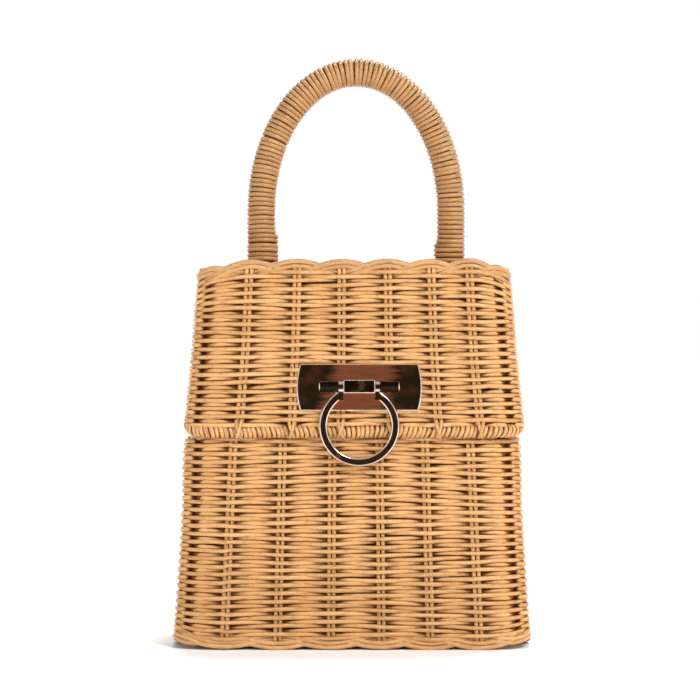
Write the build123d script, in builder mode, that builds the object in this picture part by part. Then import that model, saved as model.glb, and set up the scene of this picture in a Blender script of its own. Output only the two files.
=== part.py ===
"""Woven rattan box bag: an open basket, a cap lid hinged at the back, an arched handle and a ring clasp.

Millimetres, +Z up. The front faces -Y and the origin is the middle of the base's underside.
"""

import os
from math import atan2, cos, hypot, sin, sqrt

from build123d import *

os.makedirs("parts", exist_ok=True)

# Basket
base_width = 180.0
base_depth = 100.0
base_corner = 18.0
neck_corner = 17.0
wall = 4.4  # a stake with a weaver on either side, pressed together
base_thick = 4.4
side_taper = 0.0606  # how far a wall leans in for each millimetre it rises
end_taper = 0.0495
shoulder_drop = 6.5  # the basket starts to draw in this far below the lid's edge
shoulder_rise = 4.5
border_radius = 2.7  # the plaited borders round the base and the lid's top

# Lid
lid_top = 194.0
lid_edge_height = 108.5  # middle of the bound edge along the front
top_width = 158.4
top_front = 40.5  # from the middle of the bag to the lid's front, at its top
side_overhang = 0.9  # the lid's edge stands out past the basket's shoulder
front_overhang = 2.45
lid_back = 43.5
lid_corner = 15.0
edge_corner = 16.0
panel_thick = 4.4
panel_drop = 0.6  # the lid's border stands this far above its panel
hoop_radius = 1.6  # the canes inside the bound edges
binding_radius = 3.0

# Fits and clearances
lap_gap = 0.05  # between a binding, a groove or a bore and what it holds
lid_gap = 0.7  # between the basket and the lid's inside
loop_side_gap = 0.5
magnet_gap = 0.3

# Back hinge
hinge_drop = 6.7  # from the lid's back edge down to the basket's rim
hinge_inset = 3.5  # the rim lies this far in front of the lid's back edge
rim_corner = 16.0
rim_side_room = 1.9  # more room beside the rim, where the lid's edge runs down past it
loop_radius = 1.1
loop_spacing = 46.0
loop_slot_depth = 9.0

# Handle
handle_x = 2.0
handle_span = 97.8  # between the middles of its legs
handle_height = 98.4  # from the lid's top to the middle of the arch
handle_rise = 71.2
core_radius = 4.3
wrap_radius = 6.85
peg_radius = 1.5
peg_length = 17.0
core_tail = 6.5  # how far the cane runs on below the lid's panel

# Clasp
clasp_x = 3.5
clasp_rise = 22.0  # from the lid's edge up to the clasp's pin
plate_width = 62.5
plate_height = 23.7
plate_bulge = 1.8
plate_thick = 1.6
plate_bevel = 0.6
pin_lift = 4.8  # from the lid's front face to the pin
pin_radius = 1.5
block_width = 15.8
block_height = 6.6
block_depth = 7.6
block_corner = 0.8
small_bevel = 0.4
eye_radius = 3.0
eye_width = 2.2
bar_length = 40.0
ring_drop = 19.5  # from the pin to the ring's middle
ring_outer = 20.0
ring_inner = 16.0
ring_thick = 3.2
ring_round = 1.1
neck_overlap = 4.8  # how far the ring's necks run down into it
side_play = 0.15
stud_radius = 1.25
stud_spacing = 44.0
stud_head = 2.4
backplate_thick = 0.8
backplate_width = 54.0
backplate_height = 18.0
backplate_corner = 4.5
cup_radius = 7.0
cup_back_gap = 0.5  # between the cup and the back of the clasp's plate
cup_lip = 0.2  # how far the cup stands out of the plate behind the lid's front
cup_wall = 1.5
magnet_height = 3.4
strike_radius = 8.0
strike_thick = 1.8
rivet_radius = 1.5
rivet_head = 2.8
rivet_head_thick = 0.6
washer_radius = 4.5
washer_thick = 0.8
washer_gap = 0.1

# Places worked out from the sizes above
shoulder_height = lid_edge_height - shoulder_drop
shoulder_end = shoulder_height + shoulder_rise
foot_half_width = base_width / 2 - border_radius * side_taper
foot_half_depth = base_depth / 2 - border_radius * end_taper
shoulder_half_width = base_width / 2 - shoulder_height * side_taper
shoulder_half_depth = base_depth / 2 - shoulder_height * end_taper
lid_slope_side = (shoulder_half_width + side_overhang - top_width / 2) / (lid_top - lid_edge_height)
lid_slope_front = (shoulder_half_depth + front_overhang - top_front) / (lid_top - lid_edge_height)
clasp_height = lid_edge_height + clasp_rise
handle_top = lid_top + handle_height
hoop_back_y = lid_back - binding_radius
hoop_back_z = lid_top - binding_radius
rim_y = hoop_back_y - hinge_inset
rim_z = hoop_back_z - hinge_drop
neck_inset = 2 * binding_radius + lid_gap  # the bound edge passes round the neck
stud_reach = wall + 2 * backplate_thick  # from the lid's face to the back of the studs
neck_front_inset = max(2 * binding_radius, stud_reach) + lid_gap
panel_floor = lid_top - panel_thick - panel_drop
panel_roof = panel_floor + panel_thick


def lid_half_width(z):
    """Half the lid's outside width at a height."""
    return top_width / 2 + (lid_top - z) * lid_slope_side


def lid_front(z):
    """Where the lid's front face lies at a height."""
    return -top_front - (lid_top - z) * lid_slope_front


rim_half_width = lid_half_width(rim_z) - wall - lid_gap - binding_radius - rim_side_room
rim_front = lid_front(rim_z) + wall + lid_gap + binding_radius

# Each level is a height, half the width, the front, the back and the corner radius
basket_levels = [
    (border_radius, foot_half_width, -foot_half_depth, foot_half_depth, base_corner),
    (shoulder_height, shoulder_half_width, -shoulder_half_depth, shoulder_half_depth, base_corner),
    (
        shoulder_end,
        lid_half_width(lid_edge_height) - neck_inset,
        lid_front(lid_edge_height) + neck_front_inset,
        shoulder_half_depth - shoulder_rise * end_taper,
        neck_corner,
    ),
    (rim_z, rim_half_width + wall / 2, rim_front - wall / 2, rim_y + wall / 2, rim_corner + wall / 2),
]
lid_levels = [
    (
        lid_edge_height,
        lid_half_width(lid_edge_height),
        lid_front(lid_edge_height),
        lid_back,
        edge_corner,
    ),
    (
        lid_top - border_radius,
        lid_half_width(lid_top - border_radius),
        lid_front(lid_top - border_radius),
        lid_back,
        lid_corner,
    ),
]


def outline(level, inset):
    """One level rounded rectangle, drawn in from the outside by the inset."""
    z, half_width, front, back, corner = level
    with BuildSketch(Plane.XY.offset(z)) as drawn:
        with Locations((0, (front + back) / 2)):
            RectangleRounded(2 * (half_width - inset), back - front - 2 * inset, corner - inset)
    return drawn.sketch


def level_ring(z, half_width, front, back, corner):
    """A closed level path with rounded corners."""
    with BuildLine(Plane.XY.offset(z)) as path:
        FilletPolyline(
            (-half_width, front),
            (half_width, front),
            (half_width, back),
            (-half_width, back),
            radius=corner,
            close=True,
        )
    return path.wire()


def across(path):
    """The plane square to the start of a path."""
    return Plane(origin=path @ 0, z_dir=path % 0)


# Paths of the canes
base_ring = level_ring(
    border_radius,
    base_width / 2 - border_radius,
    border_radius - base_depth / 2,
    base_depth / 2 - border_radius,
    base_corner - border_radius,
)
rim_ring = level_ring(rim_z, rim_half_width, rim_front, rim_y, rim_corner)

edge_front_y = lid_front(lid_edge_height) + binding_radius
edge_run = hypot(hoop_back_y - edge_front_y, hoop_back_z - lid_edge_height)
edge_angle = atan2(hoop_back_z - lid_edge_height, hoop_back_y - edge_front_y)
edge_plane = Plane(
    origin=(0, edge_front_y, lid_edge_height),
    x_dir=(1, 0, 0),
    z_dir=(0, -sin(edge_angle), cos(edge_angle)),
)
edge_half_front = lid_half_width(lid_edge_height) - binding_radius
edge_half_back = lid_half_width(hoop_back_z) - binding_radius
with BuildLine(edge_plane) as edge_line:
    FilletPolyline(
        (-edge_half_front, 0),
        (edge_half_front, 0),
        (edge_half_back, edge_run),
        (-edge_half_back, edge_run),
        radius=lid_corner,
        close=True,
    )
edge_ring = edge_line.wire()

top_half_width = top_width / 2 - border_radius
top_border_end = hoop_back_y - lid_corner
with BuildLine(Plane.XY.offset(lid_top - border_radius)) as top_line:
    FilletPolyline(
        (-top_half_width, top_border_end),
        (-top_half_width, border_radius - top_front),
        (top_half_width, border_radius - top_front),
        (top_half_width, top_border_end),
        radius=lid_corner - border_radius,
    )
top_path = top_line.wire()

handle_plane = Plane(origin=(handle_x, 0, 0), x_dir=(1, 0, 0), z_dir=(0, -1, 0))
leg = handle_span / 2
spring = handle_top - handle_rise


def handle_path(foot):
    """The handle's middle line, with both legs ending at the foot's height."""
    with BuildLine(handle_plane) as path:
        Line((-leg, foot), (-leg, spring))
        EllipticalCenterArc((0, spring), leg, handle_rise, 0, arc_size=180)
        Line((leg, spring), (leg, foot))
    return path.wire()


loop_places = (-loop_spacing, 0.0, loop_spacing)
loop_slot = 2 * (loop_radius + loop_side_gap)
loop_slot_width = 4 * wall
loop_reach = hypot(hinge_inset, hinge_drop)
loop_turn = hoop_radius + lap_gap + loop_radius
loop_room = 2 * (loop_turn + loop_radius + loop_side_gap)


def loop_path(x):
    """A long ring round the rim's cane and the lid's back cane."""
    plane = Plane(origin=(x, rim_y, rim_z), x_dir=(0, hinge_inset, hinge_drop), z_dir=(1, 0, 0))
    with BuildLine(plane) as path:
        Line((0, -loop_turn), (loop_reach, -loop_turn))
        CenterArc((loop_reach, 0), loop_turn, -90, 180)
        Line((loop_reach, loop_turn), (0, loop_turn))
        CenterArc((0, 0), loop_turn, 90, 180)
    return path.wire()


# The clasp is laid out on the lid's front face, its own x to the right and its own y up the face
lean = atan2(lid_slope_front, 1)
face_out = (0, -cos(lean), sin(lean))
face = Plane(
    origin=(clasp_x, lid_front(clasp_height), clasp_height), x_dir=(1, 0, 0), z_dir=face_out
)
neck_slope = (rim_front - wall / 2 - basket_levels[2][2]) / (rim_z - shoulder_end)
neck_front = basket_levels[2][2] + (clasp_height - shoulder_end) * neck_slope
neck_depth = (neck_front - lid_front(clasp_height)) * cos(lean)  # from the lid's face to the neck
cup_mouth = wall + backplate_thick + cup_lip
cup_height = cup_mouth - cup_back_gap
strike_face = cup_mouth + magnet_gap
strike_floor = strike_face + strike_thick
neck_inside = neck_depth + wall + washer_gap
pin_y = lid_front(clasp_height) - pin_lift * cos(lean)
pin_z = clasp_height + pin_lift * sin(lean)

# ---- Basket
with BuildPart() as base_border:
    with BuildSketch(across(base_ring)):
        Circle(border_radius)
    sweep(path=base_ring)
base_border.part.label = "base_border"
export_step(base_border.part, "parts/base_border.step")

panel_edge = 2 * border_radius + lap_gap
with BuildPart() as base_panel:
    with BuildSketch():
        RectangleRounded(
            base_width - 2 * panel_edge, base_depth - 2 * panel_edge, base_corner - panel_edge
        )
    extrude(amount=base_thick)
base_panel.part.label = "base_panel"
export_step(base_panel.part, "parts/base_panel.step")

with BuildPart() as basket_wall:
    loft(sections=[outline(level, 0) for level in basket_levels], ruled=True)
    loft(
        sections=[outline(level, wall) for level in basket_levels],
        ruled=True,
        mode=Mode.SUBTRACT,
    )
    with BuildSketch(across(base_ring)) as base_groove:
        Circle(border_radius + lap_gap)
    sweep(sections=base_groove.sketch, path=base_ring, mode=Mode.SUBTRACT)
    with BuildSketch(across(rim_ring)) as rim_groove:
        Circle(binding_radius + lap_gap)
    sweep(sections=rim_groove.sketch, path=rim_ring, mode=Mode.SUBTRACT)
    with BuildSketch():
        RectangleRounded(
            base_width - 4 * border_radius, base_depth - 4 * border_radius, base_corner - 2 * border_radius
        )
    extrude(amount=base_thick + lap_gap, mode=Mode.SUBTRACT)
    with Locations([(x, rim_y, rim_z) for x in loop_places]):
        Box(loop_slot, loop_slot_width, 2 * loop_slot_depth, mode=Mode.SUBTRACT)
    with BuildSketch(face.offset(-strike_floor)):
        Circle(strike_radius + lap_gap)
    extrude(amount=strike_thick + wall, mode=Mode.SUBTRACT)
    with BuildSketch(face.offset(-strike_floor)):
        Circle(rivet_radius + lap_gap)
    extrude(amount=-2 * wall, mode=Mode.SUBTRACT)
basket_wall.part.label = "basket_wall"
export_step(basket_wall.part, "parts/basket_wall.step")

with BuildPart() as rim_hoop:
    with BuildSketch(across(rim_ring)):
        Circle(hoop_radius)
    sweep(path=rim_ring)
rim_hoop.part.label = "rim_hoop"
export_step(rim_hoop.part, "parts/rim_hoop.step")

with BuildPart() as rim_binding:
    with BuildSketch(across(rim_ring)):
        Circle(binding_radius)
        Circle(hoop_radius + lap_gap, mode=Mode.SUBTRACT)
    sweep(path=rim_ring)
    with Locations([(x, rim_y, rim_z) for x in loop_places]):
        Box(loop_slot, loop_slot_width, 2 * loop_slot_depth, mode=Mode.SUBTRACT)
rim_binding.part.label = "rim_binding"
export_step(rim_binding.part, "parts/rim_binding.step")

# ---- Lid
with BuildPart() as lid_border:
    with BuildSketch(across(top_path)):
        Circle(border_radius)
    sweep(path=top_path)
lid_border.part.label = "lid_border"
export_step(lid_border.part, "parts/lid_border.step")

with BuildPart() as lid_skirt:
    loft(sections=[outline(level, 0) for level in lid_levels], ruled=True)
    loft(
        sections=[outline(level, wall) for level in lid_levels],
        ruled=True,
        mode=Mode.SUBTRACT,
    )
    split(bisect_by=edge_plane, keep=Keep.TOP)
    split(bisect_by=Plane.XZ.offset(lap_gap - lid_back + wall), keep=Keep.TOP)
    with BuildSketch(across(edge_ring)) as edge_groove:
        Circle(binding_radius + lap_gap)
    sweep(sections=edge_groove.sketch, path=edge_ring, mode=Mode.SUBTRACT)
    with BuildSketch(across(top_path)) as top_groove:
        Circle(border_radius + lap_gap)
    sweep(sections=top_groove.sketch, path=top_path, mode=Mode.SUBTRACT)
    with BuildSketch(face):
        Circle(cup_radius + lap_gap)
        with GridLocations(stud_spacing, 0, 2, 1):
            Circle(stud_radius + lap_gap)
    extrude(amount=2 * wall, both=True, mode=Mode.SUBTRACT)
lid_skirt.part.label = "lid_skirt"
export_step(lid_skirt.part, "parts/lid_skirt.step")

panel_side = top_half_width - border_radius - lap_gap
panel_front = 2 * border_radius + lap_gap - top_front
panel_back = hoop_back_y - binding_radius - lap_gap
panel_corner = lid_corner - 2 * border_radius - lap_gap
with BuildPart() as lid_panel:
    with BuildSketch(Plane.XY.offset(panel_floor)):
        with Locations((0, (panel_front + panel_back) / 2)):
            RectangleRounded(2 * panel_side, panel_back - panel_front, panel_corner)
        with Locations((handle_x, 0)):
            with GridLocations(handle_span, 0, 2, 1):
                Circle(core_radius + lap_gap, mode=Mode.SUBTRACT)
    extrude(amount=panel_thick)
    with BuildSketch(across(edge_ring)) as panel_groove:
        Circle(binding_radius + lap_gap)
    sweep(sections=panel_groove.sketch, path=edge_ring, mode=Mode.SUBTRACT)
    with Locations([(x, hoop_back_y, hoop_back_z) for x in loop_places]):
        Box(loop_slot, loop_room + 2 * hinge_inset, loop_room, mode=Mode.SUBTRACT)
lid_panel.part.label = "lid_panel"
export_step(lid_panel.part, "parts/lid_panel.step")

with BuildPart() as lid_edge_hoop:
    with BuildSketch(across(edge_ring)):
        Circle(hoop_radius)
    sweep(path=edge_ring)
lid_edge_hoop.part.label = "lid_edge_hoop"
export_step(lid_edge_hoop.part, "parts/lid_edge_hoop.step")

with BuildPart() as lid_edge_binding:
    with BuildSketch(across(edge_ring)):
        Circle(binding_radius)
        Circle(hoop_radius + lap_gap, mode=Mode.SUBTRACT)
    sweep(path=edge_ring)
    with Locations([(x, hoop_back_y, hoop_back_z) for x in loop_places]):
        Box(loop_slot, loop_room, loop_room, mode=Mode.SUBTRACT)
lid_edge_binding.part.label = "lid_edge_binding"
export_step(lid_edge_binding.part, "parts/lid_edge_binding.step")

# ---- Back hinge
loop_names = ("hinge_loop_left", "hinge_loop_middle", "hinge_loop_right")
for loop_name, loop_x in zip(loop_names, loop_places):
    loop_ring = loop_path(loop_x)
    with BuildPart() as hinge_loop:
        with BuildSketch(across(loop_ring)):
            Circle(loop_radius)
        sweep(path=loop_ring)
    hinge_loop.part.label = loop_name
    export_step(hinge_loop.part, f"parts/{loop_name}.step")

# ---- Handle
core_path = handle_path(panel_floor - core_tail)
wrap_path = handle_path(panel_roof)
peg_z = panel_floor - peg_radius - lap_gap
with BuildPart() as handle_core:
    with BuildSketch(across(core_path)):
        Circle(core_radius)
    sweep(path=core_path)
    with Locations((handle_x, 0, peg_z)):
        with GridLocations(handle_span, 0, 2, 1):
            Cylinder(
                peg_radius + lap_gap, 4 * core_radius, rotation=(90, 0, 0), mode=Mode.SUBTRACT
            )
handle_core.part.label = "handle_core"
export_step(handle_core.part, "parts/handle_core.step")

with BuildPart() as handle_wrap:
    with BuildSketch(across(wrap_path)):
        Circle(wrap_radius)
        Circle(core_radius + lap_gap, mode=Mode.SUBTRACT)
    sweep(path=wrap_path)
handle_wrap.part.label = "handle_wrap"
export_step(handle_wrap.part, "parts/handle_wrap.step")

with BuildPart() as handle_pegs:
    with Locations((handle_x, 0, peg_z)):
        with GridLocations(handle_span, 0, 2, 1):
            Cylinder(peg_radius, peg_length, rotation=(90, 0, 0))
handle_pegs.part.label = "handle_pegs"
export_step(handle_pegs.part, "parts/handle_pegs.step")

# ---- Clasp on the lid's front
half_plate = plate_width / 2 - plate_bulge
with BuildPart() as clasp_plate:
    with BuildSketch(face):
        with BuildLine():
            Line((-half_plate, -plate_height / 2), (half_plate, -plate_height / 2))
            ThreePointArc(
                (half_plate, -plate_height / 2), (plate_width / 2, 0), (half_plate, plate_height / 2)
            )
            Line((half_plate, plate_height / 2), (-half_plate, plate_height / 2))
            ThreePointArc(
                (-half_plate, plate_height / 2), (-plate_width / 2, 0), (-half_plate, -plate_height / 2)
            )
        make_face()
    extrude(amount=plate_thick)
    chamfer(clasp_plate.faces().sort_by(Axis((0, 0, 0), face_out))[-1].edges(), plate_bevel)
    with BuildSketch(face):
        with GridLocations(stud_spacing, 0, 2, 1):
            Circle(stud_radius + lap_gap)
    extrude(amount=plate_thick / 2, mode=Mode.SUBTRACT)
clasp_plate.part.label = "clasp_plate"
export_step(clasp_plate.part, "parts/clasp_plate.step")

with BuildPart() as plate_studs:
    with BuildSketch(face.offset(plate_thick / 2 - lap_gap)):
        with GridLocations(stud_spacing, 0, 2, 1):
            Circle(stud_radius)
    extrude(amount=lap_gap - plate_thick / 2 - stud_reach + backplate_thick)
    with BuildSketch(face.offset(-wall - backplate_thick)):
        with GridLocations(stud_spacing, 0, 2, 1):
            Circle(stud_head)
    extrude(amount=-backplate_thick)
plate_studs.part.label = "plate_studs"
export_step(plate_studs.part, "parts/plate_studs.step")

with BuildPart() as clasp_backplate:
    with BuildSketch(face.offset(-wall)):
        RectangleRounded(backplate_width, backplate_height, backplate_corner)
        Circle(cup_radius + lap_gap, mode=Mode.SUBTRACT)
        with GridLocations(stud_spacing, 0, 2, 1):
            Circle(stud_radius + lap_gap, mode=Mode.SUBTRACT)
    extrude(amount=-backplate_thick)
clasp_backplate.part.label = "clasp_backplate"
export_step(clasp_backplate.part, "parts/clasp_backplate.step")

with BuildPart() as clasp_block:
    with BuildSketch(face.offset(plate_thick)):
        RectangleRounded(block_width, block_height, block_corner)
    extrude(amount=block_depth - plate_thick)
    chamfer(clasp_block.faces().sort_by(Axis((0, 0, 0), face_out))[-1].edges(), small_bevel)
    with BuildSketch(Plane(origin=face.origin + pin_lift * face.z_dir, z_dir=(1, 0, 0))):
        Circle(pin_radius + lap_gap)
    extrude(amount=block_width, both=True, mode=Mode.SUBTRACT)
clasp_block.part.label = "clasp_block"
export_step(clasp_block.part, "parts/clasp_block.step")

pin_plane = Plane(origin=(clasp_x, pin_y, pin_z), x_dir=(0, 1, 0), z_dir=(1, 0, 0))
ferrule_start = block_width / 2 + eye_width + 2 * side_play
with BuildPart() as clasp_pin:
    with BuildSketch(pin_plane):
        Circle(pin_radius)
    extrude(amount=bar_length / 2 - side_play, both=True)
clasp_pin.part.label = "clasp_pin"
export_step(clasp_pin.part, "parts/clasp_pin.step")

with BuildPart() as pin_ferrules:
    with BuildSketch(pin_plane):
        Circle(eye_radius)
    extrude(amount=bar_length / 2, both=True)
    chamfer(pin_ferrules.edges().filter_by(GeomType.CIRCLE), small_bevel)
    with BuildSketch(pin_plane):
        Circle(2 * eye_radius)
    extrude(amount=ferrule_start, both=True, mode=Mode.SUBTRACT)
    with BuildSketch(pin_plane):
        Circle(pin_radius + lap_gap)
    extrude(amount=bar_length / 2 - side_play + lap_gap, both=True, mode=Mode.SUBTRACT)
pin_ferrules.part.label = "pin_ferrules"
export_step(pin_ferrules.part, "parts/pin_ferrules.step")

# The ring hangs upright from the pin, its ends bent up into two eyes beside the block
ring_plane = Plane(origin=(clasp_x, pin_y, pin_z), x_dir=(1, 0, 0), z_dir=(0, -1, 0))
neck_x = block_width / 2 + side_play + eye_width / 2
gap_width = 2 * (neck_x + eye_width / 2)
neck_bottom = sqrt(ring_outer**2 - neck_x**2) - ring_drop - neck_overlap
with BuildPart() as clasp_ring:
    with BuildSketch(ring_plane):
        with Locations((0, -ring_drop)):
            Circle(ring_outer)
            Circle(ring_inner, mode=Mode.SUBTRACT)
    extrude(amount=ring_thick / 2, both=True)
    fillet(clasp_ring.edges(), ring_round)
    with BuildSketch(ring_plane):
        with Locations((0, neck_bottom)):
            Rectangle(gap_width, ring_outer, align=(Align.CENTER, Align.MIN))
    extrude(amount=ring_thick, both=True, mode=Mode.SUBTRACT)
    with BuildSketch(pin_plane):
        Circle(eye_radius + side_play)
    extrude(amount=bar_length, both=True, mode=Mode.SUBTRACT)
    with BuildSketch(ring_plane):
        with Locations((-neck_x, neck_bottom), (neck_x, neck_bottom)):
            Rectangle(eye_width, -neck_bottom, align=(Align.CENTER, Align.MIN))
    extrude(amount=ring_thick / 2, both=True)
    with BuildSketch(pin_plane):
        Circle(eye_radius)
    extrude(amount=neck_x + eye_width / 2, both=True)
    with BuildSketch(pin_plane):
        Circle(2 * eye_radius)
    extrude(amount=neck_x - eye_width / 2, both=True, mode=Mode.SUBTRACT)
    with BuildSketch(pin_plane):
        Circle(pin_radius + lap_gap)
    extrude(amount=bar_length, both=True, mode=Mode.SUBTRACT)
clasp_ring.part.label = "clasp_ring"
export_step(clasp_ring.part, "parts/clasp_ring.step")

# ---- Magnet catch behind the clasp
with BuildPart() as magnet_cup:
    with BuildSketch(face.offset(-cup_mouth)):
        Circle(cup_radius)
    extrude(amount=cup_height)
    with BuildSketch(face.offset(-cup_mouth)):
        Circle(cup_radius - cup_wall)
    extrude(amount=magnet_height + lap_gap, mode=Mode.SUBTRACT)
magnet_cup.part.label = "magnet_cup"
export_step(magnet_cup.part, "parts/magnet_cup.step")

with BuildPart() as catch_magnet:
    with BuildSketch(face.offset(-cup_mouth)):
        Circle(cup_radius - cup_wall - lap_gap)
    extrude(amount=magnet_height)
catch_magnet.part.label = "catch_magnet"
export_step(catch_magnet.part, "parts/catch_magnet.step")

with BuildPart() as strike_disc:
    with BuildSketch(face.offset(-strike_floor)):
        Circle(strike_radius)
    extrude(amount=strike_thick)
    with BuildSketch(face.offset(-strike_floor)):
        Circle(rivet_radius + lap_gap)
    extrude(amount=strike_thick, mode=Mode.SUBTRACT)
    with BuildSketch(face.offset(-strike_face)):
        Circle(rivet_head + lap_gap)
    extrude(amount=-rivet_head_thick, mode=Mode.SUBTRACT)
strike_disc.part.label = "strike_disc"
export_step(strike_disc.part, "parts/strike_disc.step")

rivet_end = neck_inside + washer_thick
with BuildPart() as strike_rivet:
    with BuildSketch(face.offset(-strike_face)):
        Circle(rivet_head)
    extrude(amount=-rivet_head_thick)
    with BuildSketch(face.offset(-strike_face)):
        Circle(rivet_radius)
    extrude(amount=strike_face - rivet_end)
    with BuildSketch(face.offset(-rivet_end)):
        Circle(rivet_head)
    extrude(amount=-rivet_head_thick)
strike_rivet.part.label = "strike_rivet"
export_step(strike_rivet.part, "parts/strike_rivet.step")

with BuildPart() as strike_washer:
    with BuildSketch(face.offset(-neck_inside)):
        Circle(washer_radius)
        Circle(rivet_radius + lap_gap, mode=Mode.SUBTRACT)
    extrude(amount=-washer_thick)
strike_washer.part.label = "strike_washer"
export_step(strike_washer.part, "parts/strike_washer.step")
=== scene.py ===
"""The woven rattan box bag: every cane and lashing around the frame, with its finishes and studio.

Shapes are worked out in millimetres and turned into metres when a mesh is made.
"""

import math

import bpy
import numpy as np
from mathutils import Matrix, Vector


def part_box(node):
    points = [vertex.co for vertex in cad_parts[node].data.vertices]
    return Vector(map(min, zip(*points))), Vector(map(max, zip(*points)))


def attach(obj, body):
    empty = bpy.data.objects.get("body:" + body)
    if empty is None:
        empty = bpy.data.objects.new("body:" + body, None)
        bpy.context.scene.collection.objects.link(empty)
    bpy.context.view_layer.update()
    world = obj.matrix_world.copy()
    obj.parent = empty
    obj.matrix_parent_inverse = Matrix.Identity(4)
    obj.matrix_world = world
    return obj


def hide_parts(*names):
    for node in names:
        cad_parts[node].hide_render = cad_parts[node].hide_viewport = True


bl_info = {
    "name": "Rattan Box Bag",
    "version": (1, 0, 0),
    "blender": (4, 5, 0),
    "location": "View3D > Sidebar > Basket",
    "description": "Weaves a rattan box bag with a bound lid, a wound handle and a ring clasp",
    "category": "Mesh",
}

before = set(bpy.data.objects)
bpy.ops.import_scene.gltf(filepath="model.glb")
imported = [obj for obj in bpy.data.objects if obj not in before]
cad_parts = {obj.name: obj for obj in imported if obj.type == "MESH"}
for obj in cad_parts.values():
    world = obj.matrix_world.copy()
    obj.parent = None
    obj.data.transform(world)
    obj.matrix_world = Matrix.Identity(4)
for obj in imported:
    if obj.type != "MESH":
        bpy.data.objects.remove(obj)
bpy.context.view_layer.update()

MM = 0.001
SIDES = 8  # corners of a cane's cross section


def box_mm(node):
    """The lowest and highest corners of a frame node, in millimetres."""
    low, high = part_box(node)
    return np.array(low) / MM, np.array(high) / MM


# ---- Places taken from the frame
BASE_LOW, BASE_HIGH = box_mm("base_border")
FLOOR_LOW, FLOOR_HIGH = box_mm("base_panel")
RIM_LOW, RIM_HIGH = box_mm("rim_binding")
STRIKE_LOW, STRIKE_HIGH = box_mm("strike_disc")
EDGE_LOW, EDGE_HIGH = box_mm("lid_edge_binding")
TOP_LOW, TOP_HIGH = box_mm("lid_border")
PANEL_LOW, PANEL_HIGH = box_mm("lid_panel")
WRAP_LOW, WRAP_HIGH = box_mm("handle_wrap")
PLATE_LOW, PLATE_HIGH = box_mm("clasp_plate")

CLASP_X = (PLATE_LOW[0] + PLATE_HIGH[0]) / 2 * MM
CLASP_Z = (PLATE_LOW[2] + PLATE_HIGH[2]) / 2 * MM
STRIKE = (STRIKE_LOW + STRIKE_HIGH) / 2
STRIKE_R = (STRIKE_HIGH[0] - STRIKE_LOW[0]) / 2 + 1.0  # the weave is flat this far round the disc
STRIKE_DENT = 1.6  # how far the weave draws in behind the disc

# Sizes of the solid frame that no box gives
WALL = 4.4
SIDE_TAPER = 0.0606  # how far a side leans in for each millimetre it rises
END_TAPER = 0.0495
SHOULDER_DROP = 4.4  # the basket draws in from this far below the lid's edge
NECK_DROP = 2.0  # and is at its neck this far below it
SIDE_OVERHANG = 0.9  # the lid's edge past the basket's shoulder
FRONT_OVERHANG = 2.45
LID_GAP = 0.7
NECK_BACK_GAP = 0.2
BASE_CORNER = 18.0
NECK_CORNER = 17.0
RIM_CORNER = 16.0
EDGE_CORNER = 16.0
BOUND_CORNER = 14.0  # the middle line of the lid's bound edge
LID_CORNER = 15.0
HANDLE_RISE = 71.2

BORDER_R = (BASE_HIGH[2] - BASE_LOW[2]) / 2
BINDING_R = (RIM_HIGH[2] - RIM_LOW[2]) / 2
RIM_Z = (RIM_LOW[2] + RIM_HIGH[2]) / 2
EDGE_Z = EDGE_LOW[2] + BINDING_R
LID_TOP = TOP_HIGH[2]
SHOULDER_Z = EDGE_Z - SHOULDER_DROP
NECK_Z = EDGE_Z - NECK_DROP
LID_BACK = EDGE_HIGH[1]
BASE_HALF = BASE_HIGH[0]
BASE_DEPTH = BASE_HIGH[1]
SHOULDER_HALF = BASE_HALF - SHOULDER_Z * SIDE_TAPER
SHOULDER_DEPTH = BASE_DEPTH - SHOULDER_Z * END_TAPER
LID_HALF_EDGE = SHOULDER_HALF + SIDE_OVERHANG
LID_FRONT_EDGE = -SHOULDER_DEPTH - FRONT_OVERHANG
LID_HALF_TOP = TOP_HIGH[0]
LID_FRONT_TOP = TOP_LOW[1]
NECK_INSET = 2 * BINDING_R + LID_GAP

# A level is a height, half the width, the front, the back and the corner radius of the outside
BASKET_LEVELS = np.array(
    [
        (0.0, BASE_HALF, -BASE_DEPTH, BASE_DEPTH, BASE_CORNER),
        (SHOULDER_Z, SHOULDER_HALF, -SHOULDER_DEPTH, SHOULDER_DEPTH, BASE_CORNER),
        (
            NECK_Z,
            LID_HALF_EDGE - NECK_INSET,
            LID_FRONT_EDGE + NECK_INSET,
            SHOULDER_DEPTH - NECK_BACK_GAP,
            NECK_CORNER,
        ),
        (
            RIM_Z,
            RIM_HIGH[0] - BINDING_R + WALL / 2,
            RIM_LOW[1] + BINDING_R - WALL / 2,
            RIM_HIGH[1] - BINDING_R + WALL / 2,
            RIM_CORNER + WALL / 2,
        ),
    ]
)
LID_LEVELS = np.array(
    [
        (EDGE_Z, LID_HALF_EDGE, LID_FRONT_EDGE, LID_BACK, EDGE_CORNER),
        (LID_TOP, LID_HALF_TOP, LID_FRONT_TOP, LID_BACK, LID_CORNER),
    ]
)

# The lid's bound edge runs from the bottom of its front to the top of its back
EDGE_Y = LID_FRONT_EDGE + BINDING_R
BACK_Y = EDGE_HIGH[1] - BINDING_R
BACK_Z = LID_TOP - BINDING_R
SIDE_SLOPE = (LID_HALF_EDGE - LID_HALF_TOP) / (LID_TOP - EDGE_Z)
EDGE_START = 0.12  # the edge stays low for this share of its way back, then climbs
EDGE_BEND = 0.0036  # how gently it turns from level to climbing

PLATE_SLOPE = (LID_FRONT_TOP - LID_FRONT_EDGE) / (LID_TOP - EDGE_Z)
PLATE_FACING = np.array([0.0, -1.0, PLATE_SLOPE]) / math.hypot(1.0, PLATE_SLOPE)

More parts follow.
